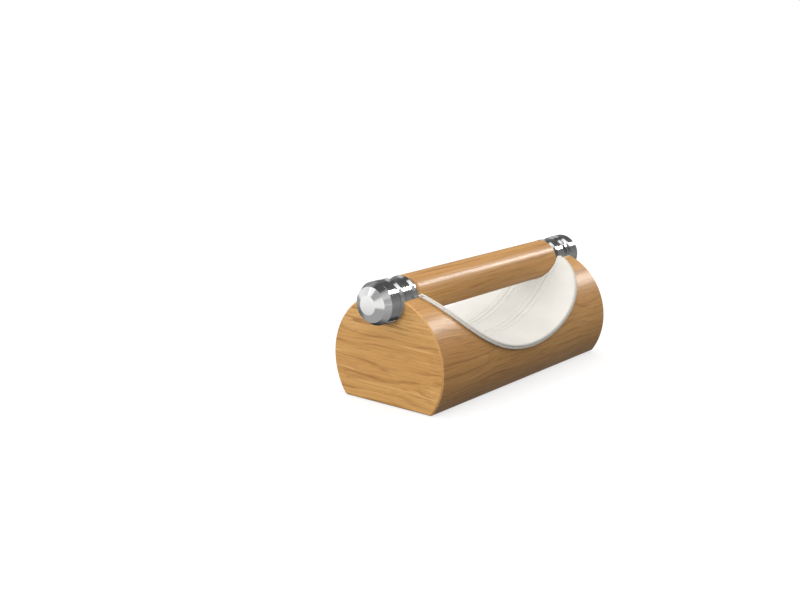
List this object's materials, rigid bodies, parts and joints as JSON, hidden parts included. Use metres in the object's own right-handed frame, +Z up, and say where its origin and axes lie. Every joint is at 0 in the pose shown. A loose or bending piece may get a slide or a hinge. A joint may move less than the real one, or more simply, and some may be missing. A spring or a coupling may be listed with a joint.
{
  "type": "parallette bar",
  "caption": "Low push-up bar: a round wooden grip with turned steel ends rests in open seats on a saddle-cut wooden block lined with leather.",
  "frame": {"origin": "on the floor, under the middle of the base block", "axes": "+X along the handle bar, +Y across the block, +Z up"},
  "size_m": [0.3106, 0.1256, 0.1106],
  "materials": {
    "oak_wood": "satin varnish over straight oak grain",
    "stainless_steel": "turned and polished",
    "dark_steel": "plain steel",
    "white_leather": "fine-grained matt leather, off-white",
    "felt": "dense pressed felt, light warm grey",
    "rubber_sheet": "matt rubber"
  },
  "bodies": {
    "base": {"base_block": "oak_wood", "anti_slip_sheet": "rubber_sheet", "liner_backing": "felt", "liner_front_panel": "white_leather", "liner_centre_panel": "white_leather", "liner_rear_panel": "white_leather", "liner_tacks": "dark_steel", "seat_pin_left": "stainless_steel", "seat_pin_right": "stainless_steel"},
    "handle_bar": {"grip": "oak_wood", "tie_rod": "dark_steel", "collar_ring_left": "stainless_steel", "collar_ring_right": "stainless_steel", "ferrule_left": "stainless_steel", "ferrule_right": "stainless_steel", "neck_ring_left": "stainless_steel", "neck_ring_right": "stainless_steel", "lock_washer_left": "dark_steel", "lock_washer_right": "dark_steel", "knob_left": "stainless_steel", "knob_right": "stainless_steel"}
  },
  "joints": [
    {"name": "bar_lift", "type": "slide", "parent": "base", "child": "handle_bar", "axis": [0, 0, 1], "range_m": [0, 0.06]}
  ]
}
